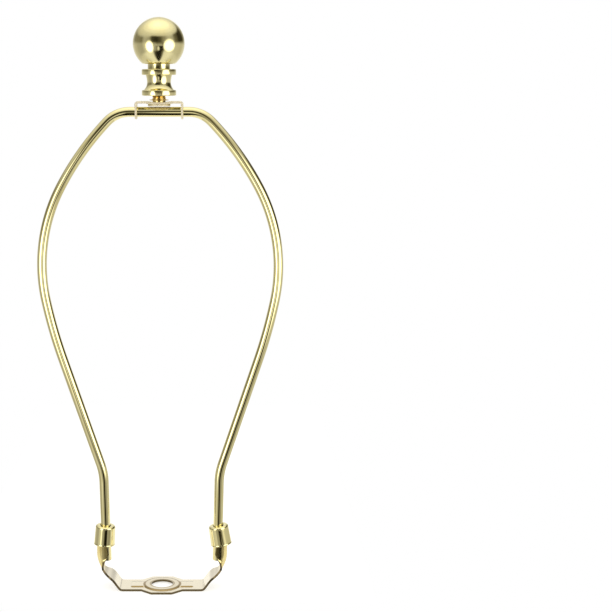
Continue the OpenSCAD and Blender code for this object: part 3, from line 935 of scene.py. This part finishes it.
def finish(name, light, dark, rough, rough_spread, grain, bump, stretch=(1, 1, 1), flat=None):
    """A metal finish: two close colours, an uneven gloss and a fine grain. A strip may have another
    colour on its flat, as (colour, from, to) with heights in metres, and then brown painted shade
    in its creases too."""
    material = bpy.data.materials.new(name)
    material.use_nodes = True
    nodes, links = material.node_tree.nodes, material.node_tree.links
    shader = nodes["Principled BSDF"]
    shader.inputs["Metallic"].default_value = 1.0
    shader.inputs["Specular IOR Level"].default_value = 0.6
    spot = nodes.new("ShaderNodeTexCoord")
    lay = nodes.new("ShaderNodeMapping")
    lay.inputs["Scale"].default_value = stretch
    links.new(spot.outputs["Object"], lay.inputs["Vector"])
    cloud = nodes.new("ShaderNodeTexNoise")
    cloud.inputs["Scale"].default_value = 140
    cloud.inputs["Detail"].default_value = 4
    links.new(lay.outputs["Vector"], cloud.inputs["Vector"])
    tint = nodes.new("ShaderNodeValToRGB")
    tint.color_ramp.elements[0].position = 0.35
    tint.color_ramp.elements[0].color = dark
    tint.color_ramp.elements[1].position = 0.62
    tint.color_ramp.elements[1].color = light
    links.new(cloud.outputs["Fac"], tint.inputs["Fac"])
    colour = tint.outputs["Color"]
    if flat:
        # under the given heights a strip has the flat's colour, and over them its other two colours,
        # which on the saddle are painted reflection
        height = nodes.new("ShaderNodeSeparateXYZ")
        links.new(spot.outputs["Object"], height.inputs[0])
        rise = nodes.new("ShaderNodeMapRange")
        rise.inputs["From Min"].default_value = flat[1]
        rise.inputs["From Max"].default_value = flat[2]
        links.new(height.outputs[2], rise.inputs["Value"])
        colour = mixed(nodes, links, rise.outputs["Result"], flat[0], colour)
        # brown painted shade in the creases, by each point's share
        crease_shade_share = nodes.new("ShaderNodeAttribute")
        crease_shade_share.attribute_name = "painted_crease_shade"
        colour = mixed(nodes, links, crease_shade_share.outputs["Fac"], colour, CREASE_SHADE_PAINT)
    links.new(colour, shader.inputs["Base Color"])
    gloss = nodes.new("ShaderNodeMapRange")
    gloss.inputs["To Min"].default_value = rough - rough_spread
    gloss.inputs["To Max"].default_value = rough + rough_spread
    links.new(cloud.outputs["Fac"], gloss.inputs["Value"])
    links.new(gloss.outputs["Result"], shader.inputs["Roughness"])
    fine = nodes.new("ShaderNodeTexNoise")
    fine.inputs["Scale"].default_value = grain
    fine.inputs["Detail"].default_value = 3
    links.new(lay.outputs["Vector"], fine.inputs["Vector"])
    relief = nodes.new("ShaderNodeBump")
    relief.inputs["Strength"].default_value = bump
    relief.inputs["Distance"].default_value = 0.00002
    links.new(fine.outputs["Fac"], relief.inputs["Height"])
    links.new(relief.outputs["Normal"], shader.inputs["Normal"])
    return material


# %% [markdown]
# The saddle's strip is paler on its flat and slopes than in its troughs, so its colour changes with
# height: the deeper gold of the troughs is a painted reflection of the brass and shade round them.
# Its cut edges get a dark brown painted shade. The bracket's edges and the stud's head are dull and
# pale, and on the stud's polished head the pale colour is a painted highlight. On turned pieces the
# noise is drawn out across the axis, for the marks of the lathe, and on the sleeves along it, for
# the marks of drawing.

# %% The finishes
wire_finish = finish("buffed_plated_wire", BRASS, BRASS_WARM, 0.04, 0.015, 900, 0.06)
# pale plating on the flat, and painted reflection in the troughs
saddle_finish = finish("satin_plated_strip", PAINTED_TROUGH_REFLECTION, PAINTED_TROUGH_REFLECTION_DARK, 0.16, 0.05, 1600, 0.4,
                       flat=(PALE, 0.008, 0.011))
bracket_finish = finish("satin_plated_sheet", BRASS, BRASS_WARM, 0.25, 0.05, 1600, 0.4)
# the saddle's cut edges: dark brown painted shade
shaded_edge_finish = finish("edge_with_painted_shade", EDGE_SHADE_PAINT, EDGE_SHADE_PAINT, 0.3, 0.05, 1200, 0.3)
# pale and dull; on the stud's head the pale colour is a painted highlight
pale_dull_finish = finish("pale_dull_edge_and_painted_highlight", PALE, PALE, 0.7, 0.04, 1200, 0.1)
stud_finish = finish("bare_turned_brass", STUD, STUD, 0.14, 0.02, 900, 0.15, (0.2, 0.2, 1))
drawn_finish = finish("drawn_plated_sheet", BRASS, BRASS_WARM, 0.06, 0.02, 900, 0.1, (1, 1, 0.15))
turned_finish = finish("turned_bright_brass", BRASS, BRASS_WARM, 0.1, 0.02, 900, 0.15,
                       (0.2, 0.2, 1))
ball_finish = finish("buffed_brass_ball", BRASS, BRASS_WARM, 0.13, 0.02, 700, 0.1)
print("finishes", [material.name for material in bpy.data.materials])

# %% [markdown]
# ## Put each piece in its place on the frame
# Every piece rides on its body of the imported model, and the CAD node that it stands for is
# hidden. Each row also holds the name of the record's slot for its finish.

# %% Riding and replacing
pieces = [
    (saddle, "saddle", "saddle", "plated_sheet", saddle_finish, shaded_edge_finish),
    (wire, "loop", "harp_wire", "plated_wire", wire_finish),
    (sleeve_left, "left_sleeve", "sleeve_left", "plated_sheet", drawn_finish),
    (sleeve_right, "right_sleeve", "sleeve_right", "plated_sheet", drawn_finish),
    (bracket, "bracket", "swivel_bracket", "plated_sheet", bracket_finish, pale_dull_finish),
    (stud, "stud", "threaded_stud", "plated_sheet", stud_finish, pale_dull_finish),
    (finial_base, "finial", "finial_base", "turned_brass", turned_finish),
    (finial_ball, "finial", "finial_ball", "turned_brass", ball_finish),
]
for piece, body, node, slot, *finishes in pieces:
    for i, material in enumerate(finishes):
        if i < len(piece.data.materials):
            piece.data.materials[i] = material
        else:
            piece.data.materials.append(material)
    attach(piece, body)
    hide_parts(node)
print("pieces placed", len(pieces))

# %% [markdown]
# ## The table
# Polished metal shows its surroundings, so the studio is most of the look. The harp stands on a
# small white table whose front edge lies just in front of it, so that the metal's lower side
# mirrors white behind the harp and the dark room before it. The table is plain grey paint that
# takes the harp's shadow, and a glow that only the camera, mirrors and glass see makes it white.

# %% Nodes that work out numbers
def math_node(kind, first, second=0.0, third=0.0):
    """One Math node, whose inputs are numbers or other nodes' outputs."""
    node = nodes.new("ShaderNodeMath")
    node.operation = kind
    for socket, value in zip(node.inputs, (first, second, third)):
        if isinstance(value, (int, float)):
            socket.default_value = value
        else:
            links.new(value, socket)
    return node.outputs[0]


def mirror_rays(rays):
    """1 for light that a mirror or glass sends on, from a Light Path node."""
    return math_node("MAXIMUM", rays.outputs["Is Glossy Ray"], rays.outputs["Is Transmission Ray"])


# %% Table
TABLE_WIDTH = 0.2
TABLE_DEPTH = 0.4
TABLE_MIDDLE = 0.18
TABLE_DROP = 0.0002
TABLE_PAINT = (0.5, 0.5, 0.49, 1)
TABLE_GLOW = 0.6
WHITE = (1, 1, 1, 1)
bpy.ops.object.select_all(action="DESELECT")
bpy.ops.mesh.primitive_plane_add(size=1, location=(0, TABLE_MIDDLE, -TABLE_DROP))
floor = bpy.context.object
floor.name = "table"
floor.scale = (TABLE_WIDTH, TABLE_DEPTH, 1)
bpy.ops.object.transform_apply(location=True, rotation=True, scale=True)
pale = bpy.data.materials.new("pale_table")
pale.use_nodes = True
nodes, links = pale.node_tree.nodes, pale.node_tree.links
nodes.clear()
out = nodes.new("ShaderNodeOutputMaterial")
matt = nodes.new("ShaderNodeBsdfDiffuse")
matt.inputs["Color"].default_value = TABLE_PAINT
glow = nodes.new("ShaderNodeEmission")
glow.inputs["Color"].default_value = WHITE
both = nodes.new("ShaderNodeAddShader")
rays = nodes.new("ShaderNodeLightPath")
seen = math_node("MAXIMUM", rays.outputs["Is Camera Ray"], mirror_rays(rays))
links.new(math_node("MULTIPLY", seen, TABLE_GLOW), glow.inputs["Strength"])
links.new(matt.outputs[0], both.inputs[0])
links.new(glow.outputs[0], both.inputs[1])
links.new(both.outputs[0], out.inputs["Surface"])
floor.data.materials.append(pale)
print("table, metres", TABLE_WIDTH, TABLE_DEPTH)

# %% [markdown]
# ## The studio
# What stands far off is painted into the world by azimuth and elevation, because that gives every
# card an edge that can be placed to the degree: white behind the harp, grey cards at its sides, a
# dark room where the camera stands, and a tent of white cloth overhead. The camera itself sees
# plain white all round, and the metal sees that white where it stands behind the harp.

# %% World
world = bpy.data.worlds.new("painted_studio")
bpy.context.scene.world = world
world.use_nodes = True
nodes, links = world.node_tree.nodes, world.node_tree.links
nodes.clear()
out = nodes.new("ShaderNodeOutputWorld")
back = nodes.new("ShaderNodeBackground")
white = nodes.new("ShaderNodeBackground")
white.inputs["Color"].default_value = WHITE
white.inputs["Strength"].default_value = 1
mix = nodes.new("ShaderNodeMixShader")
rays = nodes.new("ShaderNodeLightPath")
links.new(back.outputs[0], mix.inputs[1])
links.new(white.outputs[0], mix.inputs[2])
links.new(mix.outputs[0], out.inputs["Surface"])
way = nodes.new("ShaderNodeTexCoord")
parts = nodes.new("ShaderNodeSeparateXYZ")
links.new(way.outputs["Generated"], parts.inputs[0])


def levels(value, reach, stops):
    """Light levels along an angle that runs from -reach to reach, from (degrees, level) stops."""
    node = nodes.new("ShaderNodeValToRGB")
    node.color_ramp.interpolation = "EASE"
    while len(node.color_ramp.elements) < len(stops):
        node.color_ramp.elements.new(0.5)
    for element, (degrees, level) in zip(node.color_ramp.elements, stops):
        element.position = (degrees + reach) / (2 * reach)
        element.color = (level, level, level, 1)
    links.new(value, node.inputs["Fac"])
    return node.outputs["Color"]


def blend(share, low, high):
    """Runs from one level to another as the share goes from 0 to 1."""
    return math_node("MULTIPLY_ADD", share, math_node("SUBTRACT", high, low), low)


x, y, z = (parts.outputs[k] for k in range(3))
# azimuth is 0 towards the camera and positive on its right; elevation is positive upwards
ROUND = 180
UPRIGHT = 90
towards = math_node("ARCTAN2", x, math_node("MULTIPLY", y, -1))
azimuth = math_node("MULTIPLY_ADD", towards, 0.5 / math.pi, 0.5)
height = math_node("ARCSINE", z)
elevation = math_node("MULTIPLY_ADD", height, 1 / math.pi, 0.5)

# %% Cards round the harp
# the cards from the horizon down, what lies far below them, and the darker band above them
room = levels(azimuth, ROUND, [
    (-180, 1.0), (-150, 0.8), (-125, 0.62), (-98, 0.48), (-80, 0.47), (-60, 0.75), (-38, 0.8),
    (-26, 0.42), (-14, 0.42), (-6, 0.25), (-1, 0.06), (4, 0.01), (22, 0.01), (31, 0.42), (56, 0.32),
    (69, 0.68), (99, 0.66), (120, 0.62), (150, 0.8), (180, 1.0)])
deep = levels(azimuth, ROUND, [
    (-180, 0.9), (-100, 0.75), (-60, 1.0), (-32, 1.0), (-20, 0.12), (-13, 0.01), (13, 0.01),
    (20, 0.12), (34, 0.95), (60, 1.0), (100, 0.75), (180, 0.9)])
band = levels(azimuth, ROUND, [
    (-180, 1.0), (-155, 0.6), (-128, 0.28), (-95, 0.26), (-84, 0.2), (-64, 0.5), (-44, 0.4),
    (-28, 0.05), (-8, 0.03), (8, 0.08), (26, 0.3), (50, 0.55), (64, 0.5), (86, 0.14), (108, 0.03),
    (130, 0.05), (155, 0.4), (180, 1.0)])
is_deep = levels(elevation, UPRIGHT, [(-40, 1), (-28, 0)])
is_band = levels(elevation, UPRIGHT, [(-3, 0), (7, 1)])

# %% The tent overhead
# its foot is lowest behind and on the left, given as a share of the way up to overhead, and a
# higher TENT_EDGE makes its edge sharper
TENT_EDGE = 12
tent = levels(elevation, UPRIGHT, [(25, 0.65), (36, 0.8), (50, 1.1), (65, 1.4), (85, 1.65)])
tent_foot = levels(azimuth, ROUND, [
    (-180, 0.26), (-110, 0.24), (-60, 0.25), (-25, 0.34), (25, 0.33), (60, 0.3), (85, 0.36),
    (150, 0.37), (180, 0.26)])
over_foot = math_node("SUBTRACT", math_node("DIVIDE", height, math.pi / 2), tent_foot)
is_tent = math_node("MULTIPLY_ADD", over_foot, TENT_EDGE, 0.5)
is_tent = math_node("MINIMUM", math_node("MAXIMUM", is_tent, 0), 1)

# %% Put the studio together
# the camera's side has a bright line just under the horizon
line_height = levels(elevation, UPRIGHT, [(-12.5, 0), (-9, 0.7), (-5, 0.3), (2, 0.22), (8, 0)])
line_width = levels(azimuth, ROUND, [(-24, 0), (-16, 1), (16, 1), (24, 0)])
bright_line = math_node("MULTIPLY", line_height, line_width)
below = math_node("MAXIMUM", blend(is_deep, room, deep), bright_line)
level = blend(is_tent, blend(is_band, below, band), tent)
links.new(level, back.inputs["Strength"])
# the darkest parts of the room are warmer, so that the dark lines in the metal turn brown
WARM_LIGHT = (1.0, 0.9, 0.5, 1.0)
CLOTH_LIGHT = (1.0, 0.99, 0.97, 1.0)
hue = mixed(nodes, links, math_node("MULTIPLY", level, 2.5), WARM_LIGHT, CLOTH_LIGHT)
links.new(hue, back.inputs["Color"])

# %% White behind the harp
not_high = levels(elevation, UPRIGHT, [(20, 1), (35, 0)])
far_side = levels(azimuth, ROUND, [(-180, 1), (-168, 1), (-156, 0), (156, 0), (168, 1), (180, 1)])
behind = math_node("MULTIPLY", not_high, far_side)
mirrored = math_node("MULTIPLY", mirror_rays(rays), behind)
links.new(math_node("MAXIMUM", rays.outputs["Is Camera Ray"], mirrored), mix.inputs[0])
print("studio painted with", len(nodes), "nodes")

# %% [markdown]
# ## The lamps
# Two soft boxes and a narrow low one between them are lamps, because they stand near: seen in the
# ball they fill the middle, and in the sleeves far below only their lower edge shows. A painted box
# would look the same in both. Their light falls off towards the edges, as cloth lit by one bulb
# does.

# %% Lamps
# full brightness up to this share of a lamp's side from its middle, and none past the other one
FALL_FROM = 0.26
FALL_TO = 0.5
LAMP_REACH = 0.42


def hang_lamp(name, azimuth, low, high, width, level):
    """An upright rectangular lamp that faces the Z axis, with a given radiance in its middle."""
    lamp = bpy.data.lights.new(name, "AREA")
    lamp.shape = "RECTANGLE"
    lamp.size, lamp.size_y = width, high - low
    lamp.energy = level * math.pi * width * (high - low)
    lamp.use_nodes = True
    nodes, links = lamp.node_tree.nodes, lamp.node_tree.links
    cloth = nodes["Emission"]
    spot = nodes.new("ShaderNodeNewGeometry")
    middle = nodes.new("ShaderNodeVectorMath")
    middle.operation = "DISTANCE"
    middle.inputs[1].default_value = (0.5, 0.5, 0)
    links.new(spot.outputs["Parametric"], middle.inputs[0])
    fall = nodes.new("ShaderNodeMapRange")
    fall.interpolation_type = "SMOOTHSTEP"
    fall.inputs["From Min"].default_value = FALL_FROM
    fall.inputs["From Max"].default_value = FALL_TO
    fall.inputs["To Min"].default_value = 1.0
    fall.inputs["To Max"].default_value = 0.0
    links.new(middle.outputs["Value"], fall.inputs["Value"])
    links.new(fall.outputs["Result"], cloth.inputs["Strength"])
    holder = bpy.data.objects.new(name, lamp)
    bpy.context.scene.collection.objects.link(holder)
    turn = math.radians(azimuth)
    place_at = Vector((math.sin(turn) * LAMP_REACH, -math.cos(turn) * LAMP_REACH, (low + high) / 2))
    inwards = Vector((-place_at.x, -place_at.y, 0))
    holder.location = place_at
    holder.rotation_euler = inwards.to_track_quat("-Z", "Y").to_euler()
    return holder


for lamp_values in (("left_box", -40, -0.10, 0.36, 0.32, 2.5),
                    ("right_box", 50, -0.07, 0.41, 0.51, 2.15),
                    ("slit", 1, -0.04, 0.18, 0.09, 0.9)):
    lamp_object = hang_lamp(*lamp_values)
    print(lamp_object.name, round(lamp_object.data.energy, 3), "W")

# %% [markdown]
# ## The camera
# It stands a little above the top of the loop and looks down. The harp is in the left half of the
# picture, so the lens is shifted sideways. Turning the camera instead would tilt the saddle.

# %% Camera
CAMERA = (0.027, -0.6488, 0.2400)
TILT = 9.13
LENS = 83.5
SHIFT = 0.1425
camera_data = bpy.data.cameras.new("camera")
camera_data.lens = LENS
camera_data.sensor_width = 36
camera_data.shift_x = SHIFT
camera = bpy.data.objects.new("camera", camera_data)
bpy.context.scene.collection.objects.link(camera)
camera.location = CAMERA
camera.rotation_euler = (math.radians(90 - TILT), 0, 0)
bpy.context.scene.camera = camera
bpy.context.scene.view_settings.view_transform = "Standard"
print("camera at", CAMERA, "tilt", TILT)
